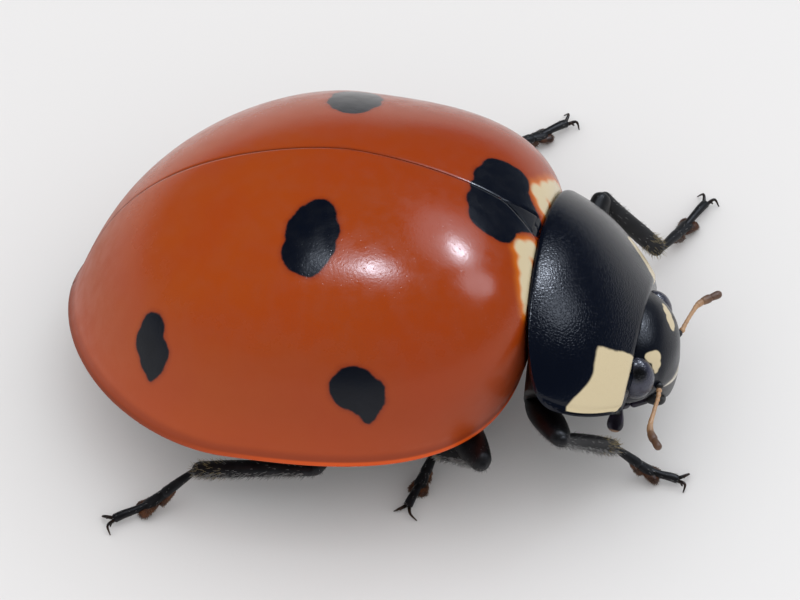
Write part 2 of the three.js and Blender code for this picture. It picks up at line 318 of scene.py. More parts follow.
class Graph:
    """A node material with a Principled shader, and short calls that add nodes to it."""

    def __init__(self, name):
        self.material = bpy.data.materials.new(name)
        self.material.use_nodes = True
        self.nodes = self.material.node_tree.nodes
        self.links = self.material.node_tree.links
        self.shader = self.nodes["Principled BSDF"]
        self.place = self.attribute("body", "Vector")

    def feed(self, socket, value):
        if isinstance(value, bpy.types.NodeSocket):
            self.links.new(value, socket)
        else:
            socket.default_value = value

    def attribute(self, name, output):
        node = self.nodes.new("ShaderNodeAttribute")
        node.attribute_name = name
        return node.outputs[output]

    def math(self, operation, *values):
        node = self.nodes.new("ShaderNodeMath")
        node.operation = operation
        for socket, value in zip(node.inputs, values):
            self.feed(socket, value)
        return node.outputs[0]

    def vector(self, operation, *values):
        node = self.nodes.new("ShaderNodeVectorMath")
        node.operation = operation
        for socket, value in zip(node.inputs, values):
            self.feed(socket, value)
        return node.outputs["Value" if operation in ("DISTANCE", "LENGTH", "DOT_PRODUCT") else "Vector"]

    def parts(self, vector):
        node = self.nodes.new("ShaderNodeSeparateXYZ")
        self.feed(node.inputs[0], vector)
        return node.outputs

    def folded(self, vector):
        """The same place with both sides of the body laid on the left one."""
        x, y, z = self.parts(vector)
        node = self.nodes.new("ShaderNodeCombineXYZ")
        for socket, value in zip(node.inputs, (x, self.math("ABSOLUTE", y), z)):
            self.feed(socket, value)
        return node.outputs[0]

    def fade(self, value, start, end, low=0.0, high=1.0):
        """low up to start, high from end on, and a smooth step between them."""
        node = self.nodes.new("ShaderNodeMapRange")
        node.interpolation_type = "SMOOTHSTEP"
        for name, number in (("From Min", start), ("From Max", end), ("To Min", low), ("To Max", high)):
            node.inputs[name].default_value = number
        self.feed(node.inputs["Value"], value)
        return node.outputs[0]

    def mix(self, share, a, b):
        node = self.nodes.new("ShaderNodeMix")
        node.data_type = "RGBA"
        self.feed(node.inputs[0], share)
        self.feed(node.inputs[6], a)
        self.feed(node.inputs[7], b)
        return node.outputs[2]

    def noise(self, vector, scale, detail=2.0, output="Fac"):
        node = self.nodes.new("ShaderNodeTexNoise")
        self.feed(node.inputs["Vector"], vector)
        node.inputs["Scale"].default_value = scale
        node.inputs["Detail"].default_value = detail
        return node.outputs[output]

    def cells(self, vector, scale, feature="F1"):
        node = self.nodes.new("ShaderNodeTexVoronoi")
        node.feature = feature
        self.feed(node.inputs["Vector"], vector)
        node.inputs["Scale"].default_value = scale
        return node.outputs["Distance"]

    def shaken(self, vector, scale, reach):
        """The place moved about by noise, to roughen an outline."""
        push = self.vector("SUBTRACT", self.noise(vector, scale, 3.0, "Color"), (0.5, 0.5, 0.5))
        moved = self.vector("SCALE", push)
        moved.node.inputs["Scale"].default_value = reach
        return self.vector("ADD", vector, moved)

    def blot(self, place, discs, softness):
        """How far a place lies outside a blot made of round discs that run together."""
        shape = None
        for x, y, z, radius in discs:
            gap = self.math("SUBTRACT", self.vector("DISTANCE", place, (x, y, z)), radius)
            shape = gap if shape is None else self.math("SMOOTH_MIN", shape, gap, softness)
        return shape

    def inside(self, gap, blur):
        return self.fade(gap, -blur, blur, 1.0, 0.0)

    def bump(self, height, depth, normal=None):
        """Relief of that depth in millimetres."""
        node = self.nodes.new("ShaderNodeBump")
        node.inputs["Distance"].default_value = depth * MM
        self.feed(node.inputs["Height"], height)
        if normal is not None:
            self.feed(node.inputs["Normal"], normal)
        return node.outputs[0]

    def finish(self, colour, roughness, normal=None, **constants):
        self.feed(self.shader.inputs["Base Color"], colour)
        self.feed(self.shader.inputs["Roughness"], roughness)
        if normal is not None:
            self.feed(self.shader.inputs["Normal"], normal)
            self.feed(self.shader.inputs["Coat Normal"], normal)
        for name, number in constants.items():
            self.shader.inputs[name.replace("_", " ")].default_value = number
        return self.material


def paint(red, green, blue):
    """A colour given as it shows on a screen, from 0 to 255, as Blender's linear one."""
    shares = [value / 255 for value in (red, green, blue)]
    linear = [v / 12.92 if v <= 0.04045 else ((v + 0.055) / 1.055) ** 2.4 for v in shares]
    return (*linear, 1.0)


BLACK = paint(5, 10, 23)
CREAM = paint(198, 184, 152)

# Blots are discs (x, y, z, radius) on the left half; both halves carry them.
SPOTS = {
    "scutellar": (
        (2.72, 0.0, 2.44, 0.2),
        (2.74, 0.26, 2.43, 0.22),
        (2.86, 0.46, 2.36, 0.28),
        (3.0, 0.52, 2.28, 0.24),
        (3.08, 0.2, 2.25, 0.27),
        (3.24, 0.1, 2.14, 0.2),
        (3.36, 0.06, 2.0, 0.14),
    ),
    "discal": (
        (0.82, 1.12, 2.6, 0.21),
        (0.68, 1.16, 2.59, 0.14),
        (0.79, 1.38, 2.51, 0.34),
        (0.76, 1.68, 2.38, 0.31),
        (0.96, 1.6, 2.42, 0.16),
        (0.85, 1.84, 2.3, 0.14),
    ),
    "lateral": (
        (1.6, 2.75, 1.19, 0.3),
        (1.77, 2.76, 1.04, 0.23),
        (1.86, 2.71, 1.2, 0.13),
        (1.8, 2.78, 0.83, 0.1),
        (1.8, 2.79, 0.74, 0.03),
    ),
    "rear": (
        (-1.08, 2.1, 1.18, 0.22),
        (-1.16, 2.18, 1.01, 0.21),
        (-0.95, 2.27, 0.98, 0.21),
        (-1.03, 2.31, 0.86, 0.22),
        (-1.03, 2.37, 0.72, 0.09),
        (-1.04, 2.41, 0.64, 0.03),
    ),
}
BASE_PATCH = (
    (3.33, 0.6, 2.06, 0.17),
    (3.42, 0.46, 1.95, 0.16),
    (3.42, 0.8, 1.93, 0.19),
    (3.46, 1.0, 1.83, 0.17),
    (3.5, 1.15, 1.74, 0.15),
    (3.53, 1.28, 1.64, 0.1),
)
BLOT_SOFTNESS = 0.1


def wing_case_material():
    graph = Graph("wing_case")
    place = graph.folded(graph.place)
    x, y, z = graph.parts(place)
    rough = graph.shaken(place, 7.0, 0.06)

    forward = graph.fade(x, -2.0, 3.2)
    colour = graph.mix(forward, paint(156, 66, 14), paint(144, 54, 8))
    clouds = graph.fade(graph.noise(place, 0.9, 3.0), 0.35, 0.7)
    colour = graph.mix(graph.math("MULTIPLY", clouds, 0.35), colour, paint(150, 52, 12))
    low = graph.fade(z, 0.9, 0.1)
    colour = graph.mix(graph.math("MULTIPLY", low, 0.5), colour, paint(166, 66, 18))
    along = graph.attribute("along", "Fac")
    # Painted shade: the shallow gutter just inside the rim is darkened.
    gutter = graph.math("MULTIPLY", graph.fade(along, 0.07, 0.03), 0.45)
    colour = graph.mix(gutter, colour, paint(112, 36, 14))
    lip = graph.mix(graph.fade(x, -1.5, 1.5), paint(124, 50, 20), paint(200, 76, 12))
    colour = graph.mix(graph.fade(along, 0.02, 0.01), colour, lip)
    # Painted shade along the suture, darkest where the two wing cases meet.
    seam = graph.fade(y, 0.05, 0.0)
    colour = graph.mix(graph.math("MULTIPLY", seam, 0.4), colour, paint(84, 28, 14))

    patch = graph.blot(graph.shaken(place, 7.0, 0.03), BASE_PATCH, BLOT_SOFTNESS)
    colour = graph.mix(graph.inside(patch, 0.12), colour, paint(214, 120, 20))
    pale = graph.inside(graph.math("ADD", patch, 0.03), 0.035)
    colour = graph.mix(pale, colour, CREAM)
    for discs in SPOTS.values():
        gap = graph.blot(rough, discs, BLOT_SOFTNESS)
        halo = graph.inside(graph.math("SUBTRACT", gap, 0.03), 0.05)
        colour = graph.mix(graph.math("MULTIPLY", halo, 0.5), colour, paint(110, 34, 10))
        colour = graph.mix(graph.inside(gap, 0.016), colour, BLACK)

    pits = graph.fade(graph.cells(place, 17.0), 0.02, 0.22)
    waves = graph.noise(place, 26.0, 2.0)
    relief = graph.math("ADD", graph.math("MULTIPLY", pits, 0.6), graph.math("MULTIPLY", waves, 0.7))
    normal = graph.bump(relief, 0.0013)
    gloss = graph.fade(graph.noise(place, 5.0, 4.0), 0.3, 0.75, 0.17, 0.27)
    gloss = graph.math("ADD", gloss, graph.fade(z, 2.0, 0.9, 0.0, 0.25))
    return graph.finish(colour, gloss, normal, Coat_Weight=0.1, Coat_Roughness=0.12, Specular_IOR_Level=0.27)


def shield_material():
    graph = Graph("shield")
    along = graph.attribute("along", "Fac")
    across = graph.attribute("across", "Fac")
    # The pale patch fills the front corner, from the side margin a quarter of the way up.
    side = graph.math("MINIMUM", across, graph.math("SUBTRACT", 1.0, across))
    wobble = graph.math("MULTIPLY", graph.math("SUBTRACT", graph.noise(graph.place, 6.0, 3.0), 0.5), 0.02)
    height = graph.math("ADD", side, wobble)
    start = graph.fade(height, 0.02, 0.19, 0.435, 0.665)
    behind = graph.math("MULTIPLY", graph.math("SUBTRACT", start, graph.math("ADD", along, wobble)), 1.5)
    top = graph.fade(along, 0.6, 1.0, 0.262, 0.292)
    above = graph.math("MULTIPLY", graph.math("SUBTRACT", height, top), 4.5)
    below = graph.math("MULTIPLY", graph.math("SUBTRACT", 0.008, side), 4.5)
    gap = graph.math("SMOOTH_MAX", graph.math("SMOOTH_MAX", behind, above, 0.08), below, 0.02)
    colour = graph.mix(graph.inside(gap, 0.02), BLACK, CREAM)
    net = graph.cells(graph.place, 26.0, "DISTANCE_TO_EDGE")
    scales = graph.fade(net, 0.0, 0.3)
    pits = graph.fade(graph.cells(graph.place, 9.0), 0.0, 0.14)
    relief = graph.math("ADD", graph.math("MULTIPLY", scales, 0.7), graph.math("MULTIPLY", pits, 0.6))
    normal = graph.bump(relief, 0.0016)
    return graph.finish(colour, 0.2, normal, Coat_Weight=0.07, Coat_Roughness=0.15, Specular_IOR_Level=0.21)


HEAD_SPOTS = {
    "right": (
        (4.97, -0.59, 0.615, 0.045),
        (5.01, -0.57, 0.595, 0.072),
        (5.06, -0.53, 0.57, 0.092),
        (5.085, -0.56, 0.475, 0.072),
        (5.09, -0.588, 0.4, 0.038),
    ),
    "left": (
        (5.03, 0.31, 0.742, 0.05),
        (5.085, 0.23, 0.715, 0.09),
        (5.145, 0.13, 0.67, 0.1),
        (5.18, 0.06, 0.64, 0.06),
    ),
}


def head_material():
    graph = Graph("head")
    colour = BLACK
    for discs in HEAD_SPOTS.values():
        gap = graph.blot(graph.shaken(graph.place, 9.0, 0.015), discs, 0.03)
        colour = graph.mix(graph.inside(gap, 0.012), colour, CREAM)
    net = graph.fade(graph.cells(graph.place, 26.0, "DISTANCE_TO_EDGE"), 0.0, 0.16)
    pits = graph.fade(graph.cells(graph.place, 10.0), 0.0, 0.12)
    relief = graph.math("ADD", graph.math("MULTIPLY", net, 0.5), graph.math("MULTIPLY", pits, 0.8))
    normal = graph.bump(relief, 0.0016)
    return graph.finish(colour, 0.3, normal, Coat_Weight=0.07, Coat_Roughness=0.2, Specular_IOR_Level=0.24)


def eye_material():
    graph = Graph("eye")
    place = graph.folded(graph.place)
    # A painted pseudopupil: painted shade in a dark spot on the outer side of each eye, with a paler ring round it.
    gap = graph.vector("DISTANCE", place, (4.91, 0.86, 0.52))
    ring = graph.fade(gap, 0.05, 0.16)
    colour = graph.mix(ring, paint(6, 7, 10), paint(46, 48, 64))
    colour = graph.mix(graph.fade(gap, 0.18, 0.4), colour, paint(34, 36, 50))
    facets = graph.cells(graph.place, 34.0)
    normal = graph.bump(graph.fade(facets, 0.6, 0.0), 0.0025)
    return graph.finish(colour, 0.3, normal, Coat_Weight=0.3, Coat_Roughness=0.12, IOR=1.5)


def chitin_material(name, dark, light, roughness, scale=9.0):
    """Hard dull shell whose colour is clouded between two tones."""
    graph = Graph(name)
    clouds = graph.fade(graph.noise(graph.place, scale, 3.0), 0.35, 0.75)
    colour = graph.mix(clouds, dark, light)
    grain = graph.noise(graph.place, 40.0, 2.0)
    pits = graph.fade(graph.cells(graph.place, 24.0), 0.0, 0.2)
    relief = graph.math("ADD", grain, graph.math("MULTIPLY", pits, 0.7))
    return graph.finish(colour, roughness, graph.bump(relief, 0.0012), Specular_IOR_Level=0.3)


def palp_material():
    graph = Graph("palp_shell")
    clouds = graph.fade(graph.noise(graph.place, 9.0, 3.0), 0.35, 0.75)
    colour = graph.mix(clouds, paint(18, 12, 24), paint(40, 30, 52))
    colour = graph.mix(graph.fade(graph.attribute("along", "Fac"), 0.86, 0.94), colour, paint(150, 116, 88))
    grain = graph.noise(graph.place, 40.0, 2.0)
    return graph.finish(colour, 0.28, graph.bump(grain, 0.001), Coat_Weight=0.2, Coat_Roughness=0.2)


def antenna_material():
    graph = Graph("antenna")
    along = graph.attribute("along", "Fac")
    amber = graph.mix(graph.noise(graph.place, 14.0, 2.0), paint(146, 104, 66), paint(196, 158, 118))
    colour = graph.mix(graph.fade(along, 0.19, 0.24), paint(24, 18, 16), amber)
    colour = graph.mix(graph.fade(along, 0.74, 0.92), colour, paint(92, 62, 42))
    grain = graph.noise(graph.place, 60.0, 2.0)
    return graph.finish(colour, 0.5, graph.bump(grain, 0.006), Coat_Weight=0.1, Coat_Roughness=0.3)


def lip_material():
    graph = Graph("lip")
    along = graph.attribute("along", "Fac")
    grey = graph.mix(graph.noise(graph.place, 20.0, 2.0), paint(46, 46, 48), paint(92, 92, 92))
    colour = graph.mix(graph.fade(along, 0.1, 0.16), paint(206, 200, 188), grey)
    grain = graph.noise(graph.place, 50.0, 2.0)
    return graph.finish(colour, 0.45, graph.bump(grain, 0.006), Coat_Weight=0.1, Coat_Roughness=0.3)


def hair_material(name, colour, tip):
    graph = Graph(name)
    shade = graph.mix(graph.noise(graph.place, 30.0, 1.0), colour, tip)
    return graph.finish(shade, 0.45, None, IOR=1.5)


wing_case = wing_case_material()
shield = shield_material()
head_shell = head_material()
eye_shell = eye_material()
leg_shell = chitin_material("leg_shell", paint(12, 12, 16), paint(24, 24, 28), 0.46)
belly_shell = chitin_material("belly_shell", paint(14, 14, 16), paint(28, 26, 26), 0.44)
pad_shell = chitin_material("pad_shell", paint(46, 24, 14), paint(92, 54, 28), 0.4)
palp_shell = palp_material()
claw_shell = chitin_material("claw_shell", paint(18, 14, 12), paint(52, 34, 24), 0.3)
antenna_shell = antenna_material()
lip_shell = lip_material()
pale_hair = hair_material("pale_hair", paint(74, 75, 79), paint(158, 158, 156))
gold_hair = hair_material("gold_hair", paint(112, 98, 68), paint(176, 160, 118))
brown_hair = hair_material("brown_hair", paint(52, 34, 22), paint(116, 82, 52))


# ---- Trunk -------------------------------------------------------------------------------------


def outline_radius(longitude, inset):
    c, s = np.cos(longitude), np.sin(longitude)
    ahead = c >= 0
    reach = np.where(ahead, DOME_FRONT, DOME_REAR) - inset
    power = np.where(ahead, FRONT_SQUARENESS, REAR_SQUARENESS)
    along = np.abs(c / reach) ** power
    across = np.abs(s / (HALF_WIDTH - inset)) ** power
    return (along + across) ** (-1 / power)


def dome(longitude, risen, inset=0.0):
    """The wing cases' surface, by longitude and by height as a share of the whole."""
    radius = outline_radius(longitude, inset)
    sine = np.clip(risen, 0, 1) ** (1 / SIDE_STEEPNESS)
    drawn_in = np.sqrt(np.clip(1 - sine**2, 0, 1)) ** SIDE_FULLNESS
    margin_x = radius * np.cos(longitude)
    x = margin_x * drawn_in + TOP_FORWARD * risen
    y = radius * np.sin(longitude) * drawn_in
    z = RIM_LIFT * margin_x**2 * (1 - risen) + (DOME_HEIGHT - inset) * risen
    return np.stack(np.broadcast_arrays(x, y, z), -1)


def shield_rear(y):
    """How far forward the shield's rear edge lies at that distance from the midline."""
    crest, corner = SHIELD["rear_crest"][0], SHIELD["rear_corner"]
    arch = np.sqrt(np.clip(1 - (y / corner[1]) ** 2, 0, 1)) ** SHIELD["arch_power"]
    return mix(corner[0], crest, arch)


SUTURE_GAP = 0.006  # from the midline to each wing case
BASE_GAP = 0.012  # from the wing cases' front wall to the shield
RIM = {"width": 0.022, "height": 0.045, "gutter": 0.006, "drop": 0.035}
CASE_COLUMNS = 190
LEDGE_ROWS = 10
SCUTELLUM = {"tip": 2.98, "base": 3.5, "half_width": 0.24}


def case_rows():
    """Heights of the rings, as shares: a few round the rim, then even steps, close at the top."""
    rim = np.linspace(0, 0.1, 16)[:-1]
    rest = 0.1 + 0.9 * (1 - (1 - np.linspace(0, 1, 96)) ** 1.9)
    return np.concatenate([rim, rest])


def scutellum_share(points):
    """1 inside the little triangle between the wing cases' bases, 0 a hair's breadth outside it."""
    tip, base, half = SCUTELLUM["tip"], SCUTELLUM["base"], SCUTELLUM["half_width"]
    room = (points[..., 0] - tip) * half / (base - tip) - np.abs(points[..., 1])
    return ease(room, -0.02, 0.015)


def wing_case_surface(side):
    rows = case_rows()
    w = np.linspace(0, 1, CASE_COLUMNS)
    longitude = pi * (w - 0.93 * np.sin(2 * pi * w) / (2 * pi))
    risen, lon = np.meshgrid(rows, longitude, indexing="ij")

    outer = dome(lon, risen)
    away = unit(outer[0] * (1, 1, 0) + (0, 1e-9, 0))
    above = outer[..., 2] - outer[0, :, 2]
    flare = RIM["width"] * bell(above, 0, RIM["height"]) - RIM["gutter"] * bell(above, 0.16, 0.08)
    outer = outer + flare[..., None] * away
    at_seam = bell(outer[..., 1], 0, 0.02)
    outer[..., 2] -= 0.006 * at_seam + 0.02 * scutellum_share(outer)

    # The underside starts at the rim, runs in along a ledge and goes up inside the shell.
    inset = np.minimum(np.arange(len(rows)) / LEDGE_ROWS, 1) * SHELL
    height = np.clip(risen - rows[LEDGE_ROWS], 0, 1) / (1 - rows[LEDGE_ROWS])
    inner = dome(lon, height, inset[:, None])
    lowered = RIM["drop"] * np.sin(np.clip(inset / SHELL, 0, 1) * pi) + 0.02 * (inset < SHELL)
    inner[..., 2] -= lowered[:, None]
    inner[0] += away * RIM["width"] * 0.6

    for sheet in (outer, inner):
        base = shield_rear(sheet[..., 1]) - BASE_GAP - (0.25 if sheet is inner else 0)
        sheet[..., 0] = lower_of(sheet[..., 0], base, 0.012)
        sheet[..., 1] = np.maximum(sheet[..., 1], 0) + SUTURE_GAP
        sheet[..., 1] *= side
    surface = Surface()
    ways = np.stack([risen, lon / pi], -1)
    surface.add_shell(stand(outer), stand(inner), ways)
    return surface


def scutellum_surface():
    tip, base, half = SCUTELLUM["tip"], SCUTELLUM["base"], SCUTELLUM["half_width"]
    rows, columns = 24, 17
    along, across = np.moveaxis(grid_ways(rows, columns), -1, 0)
    x = mix(tip, shield_rear(0) + 0.02, along)
    y = (across * 2 - 1) * half * (x - tip) / (base - tip) * 0.94
    crown = dome_height(x, y)
    edge = np.minimum(np.minimum(along, 1.0), 1 - np.abs(across * 2 - 1)) * half
    top = np.stack([x, y, crown - 0.012 * (1 - ease(edge, 0, 0.03)) - 0.003], -1)
    under = top - (0, 0, 0.2)
    surface = Surface()
    surface.add_shell(stand(top), stand(under), grid_ways(rows, columns))
    return surface


def dome_height(x, y):
    """Height of the wing cases over a place near the front of the midline."""
    rows = 1 - np.linspace(0, 1, 400) ** 2
    crest = dome(np.zeros_like(rows), rows)
    slope = crest[::-1] if crest[0, 0] > crest[-1, 0] else crest
    height = np.interp(x, slope[:, 0], slope[:, 2])
    return height - 0.16 * y**2


def shield_point(u, v, depth=0.0):
    (rear_x, rear_z), (front_x, front_z) = SHIELD["rear_crest"], SHIELD["front_crest"]
    rear, front = SHIELD["rear_corner"], SHIELD["front_corner"]
    lean = (v - 0.5) * pi
    arch = np.clip(np.cos(lean), 0, 1) ** SHIELD["arch_power"]
    half_width = mix(rear[1], front[1], u ** SHIELD["taper_power"])
    corner_x = mix(rear[0], front[0], u)
    corner_z = mix(rear[2], front[2], u ** SHIELD["corner_power"])
    crest_x = mix(rear_x, front_x, u)
    crest_z = mix(rear_z, front_z, u) + SHIELD["bulge"] * 4 * u * (1 - u)
    x = mix(corner_x, crest_x, arch)
    return np.stack([x, half_width * np.sin(lean), mix(corner_z, crest_z, arch) - depth], -1)


def rounded_square(along, across, roundness):
    """Draws the corners of a square of ways in, onto a square with round corners."""
    a, b = along * 2 - 1, across * 2 - 1
    reach = np.maximum(np.abs(a), np.abs(b))
    direction_a, direction_b = a / np.maximum(reach, 1e-9), b / np.maximum(reach, 1e-9)
    powers = np.abs(direction_a) ** roundness + np.abs(direction_b) ** roundness
    scale = mix(1.0, powers ** (-1 / roundness), reach**3)
    return a * scale / 2 + 0.5, b * scale / 2 + 0.5, reach


UNDERSIDE = 1.0  # the shield's lower sheet has this much taken off its way along, so it stays black


def shield_surface():
    rows, columns = 84, 130
    along, across = np.moveaxis(grid_ways(rows, columns), -1, 0)
    along = 0.5 - 0.5 * np.cos(pi * along)
    roundness = np.where(along < 0.5, SHIELD["rear_roundness"], SHIELD["front_roundness"])
    u, v, reach = rounded_square(along, across, roundness)
    top = shield_point(u, v)
    thickness = mix(SHIELD["edge"], SHIELD["thickness"], np.sin(np.clip(v, 0, 1) * pi))
    # The edge is rolled over, with a low bead just inside it along the sides.
    u_room = np.minimum(u, 1 - u) * 1.5
    v_room = np.minimum(v, 1 - v) * 5.2
    room = np.minimum(u_room, v_room)
    roll = 0.05 * (1 - np.sqrt(np.clip(1 - (1 - np.clip(room / 0.07, 0, 1)) ** 2, 0, 1)))
    bead = 0.012 * bell(v_room, 0.09, 0.05) - 0.012 * bell(v_room, 0.2, 0.06)
    normal_in = unit(np.cross(np.gradient(top, axis=1), np.gradient(top, axis=0)))
    normal_in *= np.where(normal_in[..., 2:] > 0, 1, -1)
    outer = top + (bead - roll)[..., None] * normal_in
    inner = top - thickness[..., None] * (0, 0, 1) + (roll * 0.6)[..., None] * (0, 0, 1)
    surface = Surface()
    surface.add_shell(stand(outer), stand(inner), np.stack([u, v], -1))
    surface.ways[-1] = surface.ways[-1] * (0, 1) - (UNDERSIDE, 0)
    return surface


PROTHORAX = {"narrowing": 0.72, "reach": 0.94, "depth": 0.55, "rear": 3.45, "front": 4.45, "keel": 1.2}


def breast_surface():
    rows, columns = 44, 60
    along, v = np.moveaxis(grid_ways(rows, columns), -1, 0)
    u = along * PROTHORAX["reach"]
    roof = shield_point(u, v, SHIELD["thickness"] + 0.02) * (1, PROTHORAX["narrowing"], 1)
    sunk = np.sin(np.clip(v, 0, 1) * pi) ** PROTHORAX["keel"]
    middle = mix(PROTHORAX["rear"], PROTHORAX["front"], u)
    x = mix(roof[..., 0], middle, sunk)
    z = mix(roof[..., 2] - 0.02, -PROTHORAX["depth"], sunk)
    ridge = 0.05 * bell(roof[..., 1], 0, 0.14)
    seam = 0.04 * bell(v, 0.24, 0.02) + 0.04 * bell(v, 0.76, 0.02)
    under = np.stack([x, roof[..., 1], z - ridge + seam], -1)
    surface = Surface()
    surface.add_shell(stand(roof), stand(under), grid_ways(rows, columns))
    return surface


BELLY = {"depth": 0.65, "centre": 0.5, "roundness": 0.8, "clearance": 0.03}
WAIST = 0.85
VENTRITES = (0.85, 0.3, -0.22, -0.7, -1.12, -1.48, -1.8)


def belly_point(longitude, below, lift=0.0):
    """The underside by longitude, from the wing cases' ledge (0) to its deepest place (1)."""
    inset = SHELL + BELLY["clearance"]
    rim = dome(longitude, np.zeros_like(longitude), inset)
    angle = below * pi / 2
    sunk = np.sin(angle) ** BELLY["roundness"]
    x = rim[..., 0] * np.cos(angle) + BELLY["centre"] * sunk
    y = rim[..., 1] * np.cos(angle)
    z = rim[..., 2] * (1 - sunk) - BELLY["depth"] * sunk
    arched = x - 0.1 * np.abs(y)
    step = np.zeros_like(x)
    for seam in VENTRITES:
        step = step + 0.045 * bell(arched, seam - 0.03, 0.035) - 0.02 * bell(arched, seam + 0.07, 0.06)
    hind_seam = 0.04 * bell(x - 0.22 * np.abs(y), 1.1, 0.03) * (np.abs(y) < 2.2)
    keel = 0.03 * bell(y, 0, 0.02) * ease(x, 1.0, 1.2)
    return np.stack([x, y, z + step + hind_seam + keel - lift], -1)


def belly_surface():
    columns, rows = 130, 70
    longitude = np.linspace(-pi, pi, columns, endpoint=False)
    below, lon = np.meshgrid(np.linspace(0, 1, rows), longitude, indexing="ij")
    under = belly_point(lon, below**0.8)
    rim = under[:1]
    wall = np.concatenate([rim * (0, 0, 0) + (0.6, 0, 0.5), rim * (0.96, 0.96, 1) + (0, 0, 0.35)])
    rings = np.concatenate([wall, under])
    ways = np.concatenate([np.zeros((2, columns, 2)), np.stack([below, lon / (2 * pi) + 0.5], -1)])
    surface = Surface()
    surface.add_tube(stand(rings), ways)
    return surface


# ---- Head --------------------------------------------------------------------------------------


def head_shape(points, direction):
    """Flattens the brow, draws the face forward into its blunt lower edge and hollows it at the eyes."""
    x, y, z = np.moveaxis(points, -1, 0)
    forward = ease(direction[..., 0], 0.3, 0.95)
    snout = 0.04 * forward * bell(z, 0.04, 0.14) * (1 - ease(np.abs(y), 0.2, 0.6))
    brow = 0.02 * bell(z, 0.66, 0.16) * bell(y, 0, 0.4) * forward
    x = x + snout - brow
    for side in (-1, 1):
        ex, ey, ez = EYE["centre"]
        gap = np.sqrt((points[..., 0] - ex) ** 2 + (y - side * ey) ** 2 + (z - ez) ** 2)
        x = x - 0.02 * bell(gap, 0.3, 0.06)
    groove = 0.03 * bell(z, -0.06, 0.03) * forward
    return np.stack([x - groove, y, z], -1)


def head_surface():
    surface = Surface()
    return ball(surface, HEAD["centre"], HEAD["radii"], 110, 80, head_shape)


def eye_surface(side):
    x, y, z = EYE["centre"]
    return ball(Surface(), (x, side * y, z), EYE["radii"], 64, 44)


def lip_surface():
    """Labrum and lower lip; the jaws are made in jaws_surface."""
    surface = Surface()
    rows, columns = 22, 40
    way, across = np.moveaxis(grid_ways(rows, columns), -1, 0)
    spread = (across * 2 - 1) * 0.4
    notch = 0.035 * bell(spread, 0, 0.08)
    bulge = np.sqrt(np.clip(1 - (spread / 0.42) ** 2, 0, 1))
    x = 5.01 + 0.275 * bulge - 0.07 * way**2
    z = 0.01 - 0.36 * way * (0.6 + 0.4 * bulge) + notch * way
    front = np.stack([x, spread * (1 - 0.28 * way), z], -1)
    back = front - (0.1, 0, -0.01)
    surface.add_shell(stand(front), stand(back), grid_ways(rows, columns))
    return surface


def jaws_surface():
    surface = Surface()
    for side in (-1, 1):
        line = stand([(4.95, side * 0.4, -0.15), (5.09, side * 0.32, -0.27), (5.14, side * 0.08, -0.36)])
        Limb(line, [0.1, 0.09, 0.02], [0.08, 0.07, 0.03], (1, 0, 0)).add_to(surface, 18, 14)
    ball(surface, (4.88, 0, -0.3), (0.22, 0.3, 0.12), 30, 18)
    return surface


PALP = {"root": (4.98, 0.38, -0.23), "elbow": (4.75, 0.47, -0.28), "wrist": (4.63, 0.57, -0.25), "tip": (4.6, 0.72, -0.56)}
PALP_JOINTS = (("root", "elbow", (0.05, 0.06)), ("elbow", "wrist", (0.045, 0.06)))
PALP_BLADE = {"widths": (0.05, 0.1, 0.115), "depths": (0.05, 0.065, 0.05), "squareness": 2.6}


def palp_surface(side):
    """Two slender joints along the head's underside and a hatchet-shaped one that hangs down."""
    surface = Surface()
    place = {joint: stand(np.array(point) * (1, side, 1)) for joint, point in PALP.items()}
    for start, end, sizes in PALP_JOINTS:
        Limb([place[start], place[end]], sizes, sizes, UP).add_to(surface, 16, 14)
        surface.ways[-1][:, 0] *= 0.5
    line = [place["wrist"], mix(place["wrist"], place["tip"], 0.5), place["tip"]]
    blade = Limb(line, PALP_BLADE["widths"], PALP_BLADE["depths"], (1, 0, 0), PALP_BLADE["squareness"])
    blade.add_to(surface, 24, 20)
    return surface


ANTENNA = {
    "right": ((5.12, -0.5, 0.14), (5.13, -0.58, 0.12), (5.14, -0.7, 0.07), (5.12, -0.88, -0.01), (5.12, -1.16, -0.1), (5.29, -1.47, -0.13)),
    "left": ((5.12, 0.5, 0.14), (5.22, 0.57, 0.17), (5.25, 0.74, 0.17), (5.3, 0.98, 0.18), (5.37, 1.2, 0.18), (5.6, 1.46, 0.18)),
}
# Each joint of an antenna ends at this share of its length, and is this thick, in half widths.
ANTENNA_JOINTS = (
    (0.22, 0.052),
    (0.3, 0.038),
    (0.4, 0.029),
    (0.48, 0.027),
    (0.55, 0.026),
    (0.62, 0.026),
    (0.69, 0.028),
    (0.76, 0.032),
    (0.84, 0.042),
    (0.92, 0.054),
    (1.0, 0.05),
)
JOINT_SHAPE = np.array([0.86, 0.97, 1.05, 0.96])  # half width along one joint, as shares


def antenna_surface(side):
    surface = Surface()
    line = stand(ANTENNA[side])
    start = 0.0
    for end, half in ANTENNA_JOINTS:
        segment = smooth_line(line, np.linspace(start - 0.03, end, 4))
        Limb(segment, JOINT_SHAPE * half, JOINT_SHAPE * half, UP).add_to(surface, 14, 14)
        surface.ways[-1][:, 0] = mix(start, end, surface.ways[-1][:, 0])
        start = end
    return surface


# ---- Legs --------------------------------------------------------------------------------------

